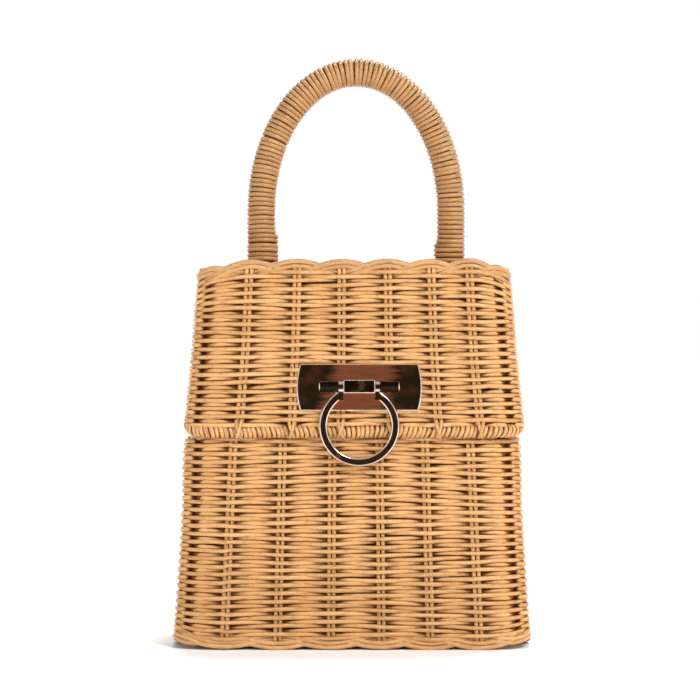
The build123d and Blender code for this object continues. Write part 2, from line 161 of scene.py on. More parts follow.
# ---- How the canes run
# The stakes stand in pairs; across the front, places are shares of half the width
BASKET_FRONT = (-0.72, -0.42, -0.12, 0.165, 0.44, 0.715)
LID_FRONT = (-0.675, -0.366, -0.08, 0.215, 0.495, 0.74)
SIDE_PLACES = (-0.4 / 1.35, 0.0, 0.4 / 1.35)  # and down a side, of its whole length
CORNER_SHARE = 0.7  # a corner's pair stands this far round it, towards the side
CORNERS = {6: -1, 10: 1, 17: -1, 21: 1}  # the corners' pairs, and the way to the front or back
SWELL = 1.0  # the weave stands out this far past the solid wall
BELLY = 1.1  # the sides stand out this much more below the shoulder
FRONT_TUCK = 2.2  # and the front draws in this far under the lid's edge
# A weaver's points between two stake pairs
STEPS_BETWEEN = np.array([0.0, 0.06, 0.12, 0.19, 0.3, 0.5, 0.7, 0.81, 0.88, 0.94])
FOOT_LIFT = 5.2  # how far the base's corners curl up
FOOT_REACH = 14.0  # up to this height the weave follows them
LID_LEAN = 1.0  # how far the lid's weave leans to the right
LID_FLARE = 1.5  # how far its lower sides stand out
HINGE_LOOPS = ("hinge_loop_left", "hinge_loop_middle", "hinge_loop_right")
LOOP_ROOM = 2.0  # half of the slot that each hinge loop swings in
LOOP_DEPTH = 8.0
LASHING_POINTS = 14  # in one turn
LASHING_ROOM = 2.4  # half of the gap that a lashing leaves for a hinge loop
TURN_PITCH = 2.36  # of the handle's winding
TURN_POINTS = 24
TURN_INSET = 0.5  # from the solid winding's outside to the canes' middle line
FOOT_SWELL = 0.11  # how much thicker the winding is at the feet
SEEDS = 900  # canes are told apart by a number up to this
NEAR = 1e-6
SHY = 1e-9  # keeps a closed line's last point on its last stretch
TINY = 1e-12


# ---- Curves and meshes
def share_of(value, low, high):
    """The value's way from low, which gives 0, to high, which gives 1, and no further."""
    return np.clip((value - low) / (high - low), 0.0, 1.0)


def eased(value, low, high):
    """A smooth step from 0 at low to 1 at high."""
    t = share_of(value, low, high)
    return t * t * (3 - 2 * t)


def edge_height(y):
    """The height of the lid's bound edge at a place from front to back."""
    share = share_of(np.asarray(y, float), EDGE_Y, BACK_Y)

    def climb(u):
        return (u - EDGE_START + np.sqrt((u - EDGE_START) ** 2 + EDGE_BEND)) / 2

    return EDGE_Z + (BACK_Z - EDGE_Z) * (climb(share) - climb(0.0)) / (climb(1.0) - climb(0.0))


def level_at(levels, z, inset=0.0):
    """Half the width, front, back and corner radius at a height, drawn in by the inset."""
    half, front, back, corner = (np.interp(z, levels[:, 0], levels[:, i]) for i in range(1, 5))
    return half - inset, front + inset, back - inset, corner - inset


def basket_inset(z):
    """How far the middle of the basket's weave lies inside its solid wall's outside."""
    return WALL / 2 + np.interp(z, [SHOULDER_Z, NECK_Z], [-SWELL, 0.4])


def ease_shoulder(points, normals, z):
    """Lets the sides stand out below the shoulder and draws the front in under the lid's edge."""
    below = z < SHOULDER_Z + 0.5
    belly = BELLY * np.exp(-(((z - SHOULDER_Z + 10) / 17) ** 2)) * below
    points[:, 0] += belly * normals[:, 0]
    tucked = np.interp(z, [SHOULDER_Z - 9, SHOULDER_Z - 1, NECK_Z], [0.0, 1.0, 0.0])
    points[:, 1] += FRONT_TUCK * tucked * np.clip(-normals[:, 1], 0, 1)


def loop_cuts(shape):
    """Lengths round the shape where each hinge loop's slot starts and ends."""
    half, front, back, corner = shape
    start = stretches(shape)[:4].sum() + half - corner
    return [(start - x - LOOP_ROOM, start - x + LOOP_ROOM) for x in loop_places()]


def cut_strand(strand, s, cuts):
    """The pieces of a closed strand that are left when it is cut out between the given lengths."""
    kept = np.ones(len(s), bool)
    for low, high in cuts:
        kept &= (s <= low + NEAR) | (s >= high - NEAR)
    order = sorted(int(np.argmin(np.abs(s - high))) for _, high in cuts)
    pieces = []
    for first, last in zip(order, order[1:] + [order[0] + len(s)]):
        run = np.arange(first, last) % len(s)
        run = run[kept[run]]
        along = (strand.points, strand.normals, strand.out, strand.up)
        parts = [values[run] for values in along]
        pieces.append(Strand(*parts, False, strand.depth[run], strand.seed))
    return pieces


def spaced_heights(levels, low, high, pitch):
    """Heights of rows that lie evenly along a wall's slopes and steps."""
    z = np.unique(np.concatenate([np.linspace(low, high, 400), levels[:, 0]]))
    z = z[(z >= low) & (z <= high)]
    half = np.interp(z, levels[:, 0], levels[:, 1])
    along = line_length(np.stack([z, half], axis=1))
    rows = int(along[-1] / pitch)
    return np.interp((np.arange(rows) + 0.5) * along[-1] / rows, along, z)


def stretches(shape):
    """The lengths of a rounded rectangle's face and corner in turn, from the front face on."""
    half, front, back, corner = shape
    arc = math.pi * corner / 2
    wide = 2 * (half - corner)
    deep = back - front - 2 * corner
    return np.array([wide, arc, deep, arc, wide, arc, deep, arc])


def around(shape, s):
    """Points and outward normals at the lengths s round a rounded rectangle, seen from above."""
    half, front, back, corner = shape
    lengths = stretches(shape)
    starts = np.concatenate([[0.0], np.cumsum(lengths)])
    s = np.mod(s, starts[-1])
    k = np.clip(np.searchsorted(starts, s, side="right") - 1, 0, 7)
    run = s - starts[k]
    bend = k % 2
    turn = (k // 2) * math.pi / 2 + bend * run / corner
    normal = np.stack([np.sin(turn), -np.cos(turn), np.zeros_like(turn)], axis=1)
    ahead = np.stack([np.cos(turn), np.sin(turn)], axis=1)
    inner = half - corner
    near = front + corner
    far = back - corner
    first = np.array([(-inner, front), (half, near), (inner, back), (-half, far)])
    middle = np.array([(inner, near), (inner, far), (-inner, far), (-inner, near)])
    straight = first[k // 2] + ahead * run[:, None]
    curved = middle[k // 2] + corner * normal[:, :2]
    flat = np.where(bend[:, None] == 0, straight, curved)
    return np.concatenate([flat, np.zeros((len(s), 1))], axis=1), normal


def stake_places(shape, fronts):
    """Where the stake pairs stand, as lengths round the shape: front, corner, side and so on."""
    half, front, back, corner = shape
    lengths = stretches(shape)
    starts = np.concatenate([[0.0], np.cumsum(lengths)])
    places = []
    for face, shares in ((0, fronts), (4, [-share for share in reversed(fronts)])):
        places += [starts[face] + half - corner + share * half for share in shares]
        places += [starts[face + 1] + lengths[face + 1] * CORNER_SHARE]
        side = starts[face + 2] + lengths[face + 2] / 2
        places += [side + lengths[face + 2] * share for share in SIDE_PLACES]
        places += [starts[face + 3] + lengths[face + 3] * (1 - CORNER_SHARE)]
    return np.array(places), starts[-1]


def strand_seed(rng):
    """The number that tells a cane's colour apart from its neighbours'."""
    return rng.uniform(0, SEEDS)


def varied(rng, value, spread):
    """The value made a little more or less at random."""
    return value * (1 + spread * rng.standard_normal())


def along_line(values, length, where):
    """Vectors given along a line, read at the lengths where."""
    return np.stack([np.interp(where, length, values[:, i]) for i in range(3)], axis=1)


def unit(vectors):
    """The same directions, each one long."""
    return vectors / (np.linalg.norm(vectors, axis=1, keepdims=True) + TINY)


def square_to(vectors, tangent):
    """The vectors turned square to the unit tangents."""
    return unit(vectors - np.sum(vectors * tangent, axis=1, keepdims=True) * tangent)


def line_length(path):
    """The length of a line up to each of its points."""
    gaps = np.linalg.norm(np.diff(path, axis=0), axis=1)
    return np.concatenate([[0.0], np.cumsum(gaps)])


def waves(seed, count, reach_s, reach_z):
    """A smooth random surface over length and height, with values from about -1 to 1."""
    rng = np.random.default_rng(seed)
    along = rng.uniform(0.3, 1.0, count) * 2 * math.pi / reach_s
    up = rng.uniform(0.3, 1.0, count) * 2 * math.pi / reach_z
    start = rng.uniform(0, 2 * math.pi, count)

    def at(s, z):
        total = np.zeros(np.broadcast(s, z).shape)
        for a, u, p in zip(along, up, start):
            total = total + np.sin(a * s + u * z + p)
        return total / math.sqrt(count)

    return at


class Strand:
    """One cane: its middle line, the way its section faces, its half sizes and how deep it lies."""

    def __init__(self, points, normals, out=1.0, up=1.0, closed=False, depth=1.0, seed=0.0):
        self.points = np.asarray(points, float)
        self.normals = np.asarray(normals, float)
        count = len(self.points)
        self.out = np.broadcast_to(out, count)
        self.up = np.broadcast_to(up, count)
        self.closed = closed
        self.depth = np.broadcast_to(depth, count)
        self.seed = seed


def strand_mesh(name, strands, sides):
    """One mesh of round canes, with their lengths, angles, seeds and depths kept for the finish."""
    angles = np.arange(sides)[None, :, None] * 2 * math.pi / sides
    verts, quads, canes, depths, caps = [], [], [], [], []
    base = 0
    for strand in strands:
        points = strand.points
        count = len(points)
        if strand.closed:
            tangent = np.roll(points, -1, axis=0) - np.roll(points, 1, axis=0)
        else:
            tangent = np.gradient(points, axis=0)
        tangent = unit(tangent)
        normal = square_to(strand.normals, tangent)
        side = np.cross(tangent, normal)
        out = strand.out[:, None, None] * np.cos(angles) * normal[:, None, :]
        up = strand.up[:, None, None] * np.sin(angles) * side[:, None, :]
        verts.append((points[:, None, :] + out + up).reshape(-1, 3))
        depths.append(np.repeat(strand.depth, sides))
        steps = count if strand.closed else count - 1
        i = np.arange(steps)[:, None]
        j = np.arange(sides)[None, :]
        here, there = i * sides, (i + 1) % count * sides
        right = (j + 1) % sides
        quad = np.stack([there + j, there + right, here + right, here + j], axis=2)
        quads.append(quad.reshape(-1, 4) + base)
        length = line_length(np.concatenate([points, points[:1]]))
        low = np.broadcast_to(length[:steps, None], (steps, sides))
        high = np.broadcast_to(length[1 : steps + 1, None], (steps, sides))
        turn = np.broadcast_to(j / sides, (steps, sides))
        ahead = turn + 1 / sides
        seed = np.full((steps, sides), strand.seed)
        places = ((low, turn), (low, ahead), (high, ahead), (high, turn))
        corners = np.stack([np.stack([*place, seed], axis=2) for place in places], axis=2)
        canes.append(corners[:, :, ::-1].reshape(-1, 3))
        if not strand.closed:
            caps.append((base + np.arange(sides), (0.0, 0.0, strand.seed)))
            last = base + (count - 1) * sides + np.arange(sides)
            caps.append((last[::-1], (length[count - 1], 0.0, strand.seed)))
        base += count * sides
    verts = np.concatenate(verts) * MM
    quads = np.concatenate(quads)
    loops = [quads.reshape(-1)] + [ring for ring, _ in caps]
    cane = [np.concatenate(canes)] + [np.tile(value, (sides, 1)) for _, value in caps]
    sizes = np.concatenate([np.full(len(quads), 4), np.full(len(caps), sides)])
    mesh = bpy.data.meshes.new(name)
    mesh.vertices.add(len(verts))
    mesh.vertices.foreach_set("co", verts.reshape(-1))
    loops = np.concatenate(loops)
    mesh.loops.add(len(loops))
    mesh.loops.foreach_set("vertex_index", loops.astype(np.int32))
    mesh.polygons.add(len(sizes))
    begins = np.concatenate([[0], np.cumsum(sizes)[:-1]])
    mesh.polygons.foreach_set("loop_start", begins.astype(np.int32))
    mesh.polygons.foreach_set("use_smooth", sizes == 4)
    mesh.update(calc_edges=True)
    kept = mesh.attributes.new("cane", "FLOAT_VECTOR", "CORNER")
    kept.data.foreach_set("vector", np.concatenate(cane).astype(np.float32).reshape(-1))
    # How deep each point lies; the cane finish paints shade from it.
    kept = mesh.attributes.new("depth", "FLOAT", "POINT")
    kept.data.foreach_set("value", np.concatenate(depths).astype(np.float32))
    if mesh.validate():
        raise RuntimeError(name + " made a faulty mesh")
    return mesh


def weave(name, strands, material, body, replaced=(), sides=SIDES):
    """Puts strands in the scene as one piece on a body of the frame."""
    mesh = strand_mesh(name, strands, sides)
    mesh.materials.append(material)
    piece = bpy.data.objects.new(name, mesh)
    bpy.context.scene.collection.objects.link(piece)
    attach(piece, body)
    if replaced:
        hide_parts(*replaced)


# ---- Finishes
def sums(kind, swapped=False):
    """A method that does one kind of sum on a socket and another value."""

    def method(self, other):
        a, b = (other, self) if swapped else (self, other)
        return self.shader.node("ShaderNodeMath", {"operation": kind}, {0: a, 1: b})

    return method


class Sock:
    """A shader socket that can be used in Python sums."""

    def __init__(self, shader, link):
        self.shader = shader
        self.link = link

    __add__ = sums("ADD")
    __radd__ = sums("ADD", True)
    __sub__ = sums("SUBTRACT")
    __rsub__ = sums("SUBTRACT", True)
    __mul__ = sums("MULTIPLY")
    __rmul__ = sums("MULTIPLY", True)

    def clamp(self):
        """The value held between 0 and 1."""
        return self.shader.node("ShaderNodeClamp", {}, {"Value": self})

    def ramp(self, low, high, start=0.0, end=1.0):
        """The value's way from low to high, drawn out smoothly from start to end."""
        return self.shader.node(
            "ShaderNodeMapRange",
            {"interpolation_type": "SMOOTHSTEP"},
            {"Value": self, "From Min": low, "From Max": high, "To Min": start, "To Max": end},
        )


class Shader:
    """A material and the few ways its nodes are made."""

    def __init__(self, name):
        self.material = bpy.data.materials.new(name)
        self.material.use_nodes = True
        self.tree = self.material.node_tree
        self.surface = self.tree.nodes["Principled BSDF"]

    @classmethod
    def around(cls, tree):
        """The same tools for a node tree that is not a material's."""
        shader = cls.__new__(cls)
        shader.tree = tree
        return shader

    def node(self, kind, settings, values, output=0):
        """A new node: its settings first, then the values or links of its sockets."""
        made = self.tree.nodes.new(kind)
        for key, value in settings.items():
            setattr(made, key, value)
        for key, value in values.items():
            if isinstance(value, Sock):
                self.tree.links.new(value.link, made.inputs[key])
            else:
                made.inputs[key].default_value = value
        return Sock(self, made.outputs[output])

    def mix(self, share, a, b, blend="MIX"):
        """Two colours mixed by a share."""
        settings = {"data_type": "RGBA", "blend_type": blend}
        return self.node("ShaderNodeMix", settings, {0: share, 6: a, 7: b}, output=2)

    def vector(self, kind, a, b, output=0):
        """Vector maths on two vectors."""
        return self.node("ShaderNodeVectorMath", {"operation": kind}, {0: a, 1: b}, output)

    def noise(self, where, scale, detail=2.0, rough=0.5):
        """Soft noise from 0 to 1 at a place."""
        values = {"Vector": where, "Scale": scale, "Detail": detail, "Roughness": rough}
        return self.node("ShaderNodeTexNoise", {}, values)

    def maths(self, kind, value):
        """One kind of sum on one value, such as SINE or ABSOLUTE."""
        return self.node("ShaderNodeMath", {"operation": kind}, {0: value})

    def speck(self, where):
        """One random number for each place."""
        return self.node("ShaderNodeTexWhiteNoise", {"noise_dimensions": "1D"}, {"W": where})

    def attribute(self, name, output):
        """A value kept on the mesh."""
        return self.node("ShaderNodeAttribute", {"attribute_name": name}, {}, output=output)

    def split(self, vector, axis):
        """One part of a vector."""
        return self.node("ShaderNodeSeparateXYZ", {}, {0: vector}, output=axis)

    def join(self, x, y, z):
        """A vector from three values."""
        return self.node("ShaderNodeCombineXYZ", {}, {0: x, 1: y, 2: z})

    def place(self, output="Object"):
        """Where the surface is on its own object."""
        return self.node("ShaderNodeTexCoord", {}, {}, output=output)

    def bump(self, height, strength, distance):
        """A normal bent by a height."""
        values = {"Strength": strength, "Distance": distance, "Height": height}
        return self.node("ShaderNodeBump", {}, values)

    def finish(self, colour, rough, relief, values, **links):
        """Joins the surface's colour, roughness, relief and other links, and sets plain values."""
        usual = {"Base Color": colour, "Roughness": rough, "Normal": relief}
        for key, value in {**usual, **links}.items():
            self.tree.links.new(value.link, self.surface.inputs[key])
        for key, value in values.items():
            self.surface.inputs[key].default_value = value
        return self.material


def srgb(red, green, blue):
    """A given colour, as the linear numbers that shaders take."""
    return tuple((c / 255) ** 2.2 for c in (red, green, blue)) + (1.0,)


DEEP_SHADE = (0.006, 0.003, 0.001, 1.0)
FIBRE_RELIEF = 0.0002
METAL_RELIEF = 0.0001


def rattan_finish(name, light, middle, dark, crevice_shade_and_grime):
    """Peeled cane on strand meshes: each cane's own tone and long fibres, with painted shade on the
    canes' flanks and tops and where they lie deep behind the stakes.
    """
    shader = Shader(name)
    cane = shader.attribute("cane", "Vector")
    depth = shader.attribute("depth", "Fac")
    length = shader.split(cane, 0)
    turn = shader.split(cane, 1)
    seed = shader.split(cane, 2)
    tone = shader.speck(seed)
    drift = shader.noise(shader.join(length * 0.035, seed * 7.3, 0.0), 1.0, 2.0)
    fibre = shader.noise(shader.join(length * 0.22, turn * 7.0, seed * 3.1), 1.0, 3.0, 0.6)
    blot = shader.noise(shader.join(length * 0.14, turn * 1.2, seed * 5.7), 1.0, 2.0)
    fleck = shader.noise(shader.join(length * 0.9, turn * 5.0, seed * 2.3), 1.0, 1.0)
    share = (tone * 0.45 + drift * 0.75 + fibre * 0.45 - 0.36).clamp()
    colour = shader.mix(share, middle, light)
    colour = shader.mix(blot.ramp(0.52, 0.75) * 0.55, colour, dark)
    colour = shader.mix(fleck.ramp(0.66, 0.78) * 0.5, colour, dark)
    colour = shader.mix(fibre.ramp(0.25, 0.45, 0.35, 0.0), colour, dark)
    # Painted shade along each cane's flanks, where it meets its neighbours, with a little grime.
    wave = shader.maths("SINE", turn * (2 * math.pi))
    flank = wave * wave
    colour = shader.mix(flank.ramp(0.5, 1.0) * 0.62, colour, crevice_shade_and_grime)
    # Painted shadow where a cane lies deep behind a stake, darker on its top side under the row above.
    shaded = depth - flank * 0.22 + wave * 0.3
    colour = shader.mix(shaded.ramp(-0.92, -0.45, 1.0, 0.0) * 0.96, colour, crevice_shade_and_grime)
    # Painted shade, near black, where a cane sinks deepest beside a corner.
    colour = shader.mix(depth.ramp(-1.7, -1.0, 1.0, 0.0) * 0.85, colour, DEEP_SHADE)
    shine = (depth - flank * 0.8).ramp(-0.2, 0.9) * 0.5
    rough = fibre * 0.22 + 0.3
    relief = shader.bump(fibre * 0.6 + fleck * 0.4, 0.35, FIBRE_RELIEF)
    plain = {"Specular IOR Level": 0.14, "Coat Roughness": 0.24}
    return shader.finish(colour, rough, relief, plain, **{"Coat Weight": shine})


def plain_cane_finish(name, light, dark):
    """Cane on the frame's own solids."""
    shader = Shader(name)
    place = shader.place()
    long_grain = shader.noise(shader.vector("MULTIPLY", place, (60.0, 900.0, 900.0)), 1.0, 3.0)
    patch = shader.noise(place, 90.0)
    colour = shader.mix((long_grain * 0.8 + patch * 0.5 - 0.2).clamp(), dark, light)
    relief = shader.bump(long_grain, 0.3, FIBRE_RELIEF)
    return shader.finish(colour, long_grain * 0.3 + 0.35, relief, {"Specular IOR Level": 0.4})


def edged_metal_finish(name, base_rough, body, reflected_tone, edge, facing, sharp, window, ends=False):
    """Polished dark metal with painted highlights on the edges where the surface turns from the facing
    direction, and a painted warm reflection of the cane across its middle.
    """
    shader = Shader(name)
    place = shader.place()
    look = shader.vector("DOT_PRODUCT", shader.place("Normal"), facing, "Value")
    # Painted highlight where the surface turns away from the facing direction, and on a bar's ends.
    rim = look.ramp(sharp[0], sharp[1], 1.0, 0.0)
    if ends:
        across = shader.maths("ABSOLUTE", shader.split(shader.place("Normal"), 0))
        rim = (rim + across.ramp(0.4, 0.6)).clamp()
    x = shader.split(place, 0)
    z = shader.split(place, 2)
    rag = shader.noise(shader.vector("MULTIPLY", place, (30.0, 30.0, 700.0)), 1.0, 2.0)
    # Painted warm reflection of the cane: a slanted band across the middle, broken up by streaks, and
    # cloudy patches of half its colour.
    slant = x + (z - CLASP_Z) * -0.3 + (rag - 0.5) * 0.012 - CLASP_X
    painted_reflection = (slant * slant).ramp(window**2, (window * 0.55) ** 2, 0.0, 1.0)
    streak = shader.noise(shader.vector("MULTIPLY", place, (70.0, 70.0, 1500.0)), 1.0, 3.0)
    cloud = shader.noise(place, 130.0)
    colour = shader.mix(cloud.ramp(0.45, 0.75) * 0.35, body, shader.mix(0.5, body, reflected_tone))
    colour = shader.mix(painted_reflection * (streak * 0.7 + 0.45).clamp(), colour, reflected_tone)
    # The edges take the painted highlight colour.
    colour = shader.mix(rim, colour, edge)
    rough = rim * 0.1 + streak * 0.04 + base_rough
    return shader.finish(colour, rough, shader.bump(streak, 0.03, METAL_RELIEF), {"Metallic": 1.0})


def metal_finish(name, light, dark, rough):
    """Plain plated metal with a fine brushed grain."""
    shader = Shader(name)
    place = shader.place()
    grain = shader.noise(shader.vector("MULTIPLY", place, (2500.0, 400.0, 400.0)), 1.0, 2.0)
    smear = shader.noise(place, 120.0)
    colour = shader.mix((grain * 0.5 + smear * 0.5).clamp(), dark, light)
    relief = shader.bump(grain, 0.05, METAL_RELIEF)
    return shader.finish(colour, grain * 0.15 + rough, relief, {"Metallic": 1.0})


def darker(colour):
    """A cane colour made darker, for the plaited border round the lid's top."""
    return tuple(0.84 * c for c in colour[:3]) + (1.0,)


FINISHES = {}
# The painted highlight colour for the metal's edges, and the warm cane colour painted into the metal as
# a reflection.
GLINT = srgb(246, 232, 216)
REFLECTED_TONE = srgb(84, 58, 46)
FORWARD = (0.0, -1.0, 0.0)


def finish(name):
    """A finish by name, made the first time it is asked for."""
    if name not in FINISHES:
        tones = bpy.context.scene.basket_tones
        cane = [tuple(tone) + (1.0,) for tone in (tones.light, tones.middle, tones.dark)]
        # The colour of the painted shade between and behind the canes, with a little grime.
        crevice_shade_and_grime = tuple(tones.crevice_shade_and_grime) + (1.0,)
        border = [darker(tone) for tone in cane]
        handle = [srgb(190, 146, 99), srgb(162, 118, 73), srgb(120, 80, 43)]
        # Each metal: its own dark colour, the cane painted in it as a reflection, and a painted edge
        # highlight.
        plate = [srgb(42, 33, 24), srgb(134, 78, 54), srgb(232, 216, 200)]
        ring = [srgb(44, 33, 28), REFLECTED_TONE, GLINT]
        block = [srgb(30, 22, 18), REFLECTED_TONE, GLINT]
        loop = [srgb(226, 176, 120), srgb(178, 126, 76)]
        face = tuple(PLATE_FACING)
        makers = {
            "rattan": (rattan_finish, "Honey_Cane", *cane, crevice_shade_and_grime),
            "border": (rattan_finish, "Border_Cane", *border, crevice_shade_and_grime),
            "rattan_dark": (rattan_finish, "Handle_Cane", *handle, crevice_shade_and_grime),
            "cane_core": (plain_cane_finish, "Core_Cane", srgb(196, 148, 96), srgb(140, 96, 58)),
            "hinge_cane": (plain_cane_finish, "Hinge_Cane", *loop),
            "plate": (edged_metal_finish, "Dark_Plate", 0.1, *plate, face, (0.8, 0.93), 0.019),
            "ring": (edged_metal_finish, "Ring_Metal", 0.1, *ring, FORWARD, (0.84, 0.97), 0.002),
            "bar": (edged_metal_finish, "Bar_Metal", 0.1, *ring, FORWARD, (0.3, 0.6), 0.002, True),
            "block": (edged_metal_finish, "Block_Metal", 0.08, *block, face, (0.78, 0.93), 0.002),
            "steel": (metal_finish, "Nickel_Steel", srgb(210, 205, 198), srgb(160, 156, 150), 0.25),
            "magnet": (metal_finish, "Magnet", srgb(110, 110, 114), srgb(70, 70, 74), 0.4),
        }
        maker, *values = makers[name]
        FINISHES[name] = maker(*values)
    return FINISHES[name]


# ---- Weaving
def crossing(s, places, total, row, flat, corners=None):
    """How far out a weaver lies, from -1 inside to 1 outside, passing each stake pair in turn."""
    if total:
        edges = np.concatenate([places - total, places, places + total])
        first = -len(places)
    else:
        edges = places
        first = 0
    k = np.clip(np.searchsorted(edges, s, side="right") - 1, 0, len(edges) - 2)
    t = (s - edges[k]) / (edges[k + 1] - edges[k])
    way = np.where((k + first + row) % 2 == 0, 1.0, -1.0)
    swing = np.cos(math.pi * t)
    out = way * np.sign(swing) * np.abs(swing) ** flat
    for i, edge in enumerate(edges):
        if not corners or (i + first) % len(places) not in corners:
            continue
        away = np.abs(s - edge)
        if (i + first + row) % 2 == 0:
            facing = (s - edge) * corners[(i + first) % len(places)] > 0
            sunk = eased(away, 1.4, 3.8) * share_of(away, 11.5, 4.0)
            out = out - np.where(facing, 2.9, 0.5) * sunk
        else:
            out = out + 0.85 * np.exp(-((away / 5.5) ** 2))
    return np.maximum(out, -1.7)


def corner_calm(s, places, total):
    """Stills the rows' unevenness beside the corners: 0 there and 1 along the faces."""
    away = [np.abs(np.mod(s - places[i] + total / 2, total) - total / 2) for i in CORNERS]
    return eased(np.min(away, axis=0), 5.0, 17.0)


def sunk_height(out):
    """How much taller a weaver is where it sinks in beside a corner, to keep the light out."""
    return 1 + 0.25 * np.clip(-out - 1.0, 0, 1)


GAP_WIDTHS = (5, 13)
GAP_HEIGHTS = (0.2, 0.28)


def slips(seed, count, total, low, high):
    """Places where the rows have been pushed apart and a longer gap shows."""
    rng = np.random.default_rng(seed)
    ranges = ((0, total), (low, high), GAP_WIDTHS, GAP_HEIGHTS)
    spots = np.stack([rng.uniform(least, most, count) for least, most in ranges], axis=1)

    def push(s, z):
        moved = np.zeros(len(s))
        for place, height, width, amount in spots:
            away = np.mod(s - place + total / 2, total) - total / 2
            near = np.exp(-((away / width) ** 2) - abs(z - height) / 5)
            moved += amount * (1 if z > height else -1) * near
        return moved

    return push


def top_droop(points):
    """How far the lid's top sinks towards its corners."""
    x = points[:, 0]
    left = share_of(-x, LID_HALF_TOP - 28, LID_HALF_TOP)
    right = share_of(x, LID_HALF_TOP - 20, LID_HALF_TOP)
    ends = share_of(np.abs(x), LID_HALF_TOP - 10, LID_HALF_TOP)
    forward = share_of(-points[:, 1], 0, 30)
    return -4.6 * (left**1.4 + right**1.6) - 2.8 * ends**2 * forward


def settle_lid(strands):
    """Leans the lid's weave to the right and lets its lower sides stand out, less towards the hinge."""
    for strand in strands:
        x, y, z = strand.points.T
        low = share_of(z, EDGE_Z + 41, EDGE_Z + 3)
        flare = LID_FLARE * np.sign(x) * low * share_of(np.abs(x), 0, 60)
        strand.points[:, 0] += (LID_LEAN + flare) * share_of(y, BACK_Y - 4, BACK_Y - 29)
    return strands


def panel_droop(points):
    """How far the lid's mat sinks, a little more than the border round it."""
    return 1.15 * top_droop(points)


def foot_lift(points):
    """How far the bottom rises towards the corners, as the border curls up round them."""
    across = share_of(np.abs(points[:, 0]), BASE_HALF - 24, BASE_HALF)
    along = share_of(np.abs(points[:, 1]), BASE_DEPTH - 38, BASE_DEPTH - 12)
    return FOOT_LIFT * across**3 * along


def basket_rows(sizes):
    """The weavers of the basket's wall, one ring for each row."""
    rng = np.random.default_rng(sizes.seed)
    radius = sizes.weaver_radius / MM
    start = 2 * BORDER_R - 1.0
    top = RIM_Z - 3.6
    heights = spaced_heights(BASKET_LEVELS, start, top, sizes.row_pitch / MM)
    sway = waves(sizes.seed + 1, 7, 130.0, 60.0)
    wander = waves(sizes.seed + 2, 9, 34.0, 5.0)
    loose = slips(sizes.seed + 3, sizes.gaps, 540.0, 10.0, SHOULDER_Z)
    body, upper = [], []
    for row, z in enumerate(heights):
        neck = z > SHOULDER_Z + 0.5
        shape = level_at(BASKET_LEVELS, z, basket_inset(z))
        places, total = stake_places(shape, BASKET_FRONT)
        nxt = np.append(places[1:], places[0] + total)
        s = (places[:, None] + (nxt - places)[:, None] * STEPS_BETWEEN[None, :]).reshape(-1)
        cuts = loop_cuts(shape) if z > RIM_Z - LOOP_DEPTH else []
        s = np.unique(np.concatenate([s] + [np.array(cut) for cut in cuts]))
        flat, normal = around(shape, s)
        out = crossing(s, places, total, row, sizes.tuck, CORNERS)
        calm = 0.25 if SHOULDER_Z - 1 < z < NECK_Z + 1 else 1.0
        still = corner_calm(s, places, total)
        slow = sizes.sway / MM * sway(s, z)
        height = z + calm * (slow + still * sizes.wander / MM * wander(s, row * 7.7))
        height = height + still * loose(s, z) + 0.05 * calm * rng.standard_normal()
        points = flat + normal * (out * sizes.lift / MM * (0.75 if neck else 1.0))[:, None]
        ease_shoulder(points, normal, z)
        if neck:
            strike = np.hypot(flat[:, 0] - STRIKE[0], z - STRIKE[2]) < STRIKE_R
            points[strike & (flat[:, 1] < 0), 1] += STRIKE_DENT
        points[:, 2] = height + foot_lift(points) * max(0.0, 1 - (z - start) / FOOT_REACH)
        size = varied(rng, radius, 0.05)
        swell = 1 + 0.05 * np.sin(s / 17 + rng.uniform(0, 6))
        closer = 1.0 if neck else 1 + 0.15 * np.clip(normal[:, 1], 0, 1)
        tall = size * swell * sunk_height(out) * closer
        strand = Strand(points, normal, size * 0.95, tall, True, out, strand_seed(rng))
        made = upper if neck else body
        made += cut_strand(strand, s, cuts) if cuts else [strand]
    return body, upper


def stake_strands(levels, fronts, low, high, sizes, seed):
    """Pairs of upright stakes on the middle of a wall; the lid's start at its bound edge."""
    rng = np.random.default_rng(seed)
    steps = levels[(levels[:, 0] > low) & (levels[:, 0] < high), 0]
    even = np.linspace(low, high, 30)
    heights = np.unique(np.concatenate([even, steps, steps - 0.8, steps + 0.8]))
    lines = []
    for z in heights:
        inset = basket_inset(z) if levels is BASKET_LEVELS else WALL / 2 - SWELL * 0.7
        shape = level_at(levels, z, inset)
        places, _ = stake_places(shape, fronts)
        pair = []
        for side in (-1, 1):
            flat, normal = around(shape, places + side * sizes.stake_gap / MM / 2)
            flat[list(CORNERS)] -= 1.7 * normal[list(CORNERS)]
            pair.append((flat, normal))
        lines.append(pair)
    strands = []
    count = len(lines[0][0][0])
    for pair in range(count):
        for side in (0, 1):
            points = np.array([line[side][0][pair] for line in lines])
            normals = np.array([line[side][1][pair] for line in lines])
            points[:, 2] = heights
            if levels is BASKET_LEVELS:
                ease_shoulder(points, normals, heights)
                points[:, 2] += foot_lift(points) * np.clip(1 - heights / FOOT_REACH, 0, 1)
            else:
                kept = points[:, 2] > edge_height(points[:, 1])
                if kept.sum() < 3:
                    continue
                points, normals = points[kept], normals[kept]
            radius = varied(rng, sizes.stake_radius / MM, 0.04)
            strands.append(Strand(points, normals, radius, radius, False, 0.75, strand_seed(rng)))
    return strands


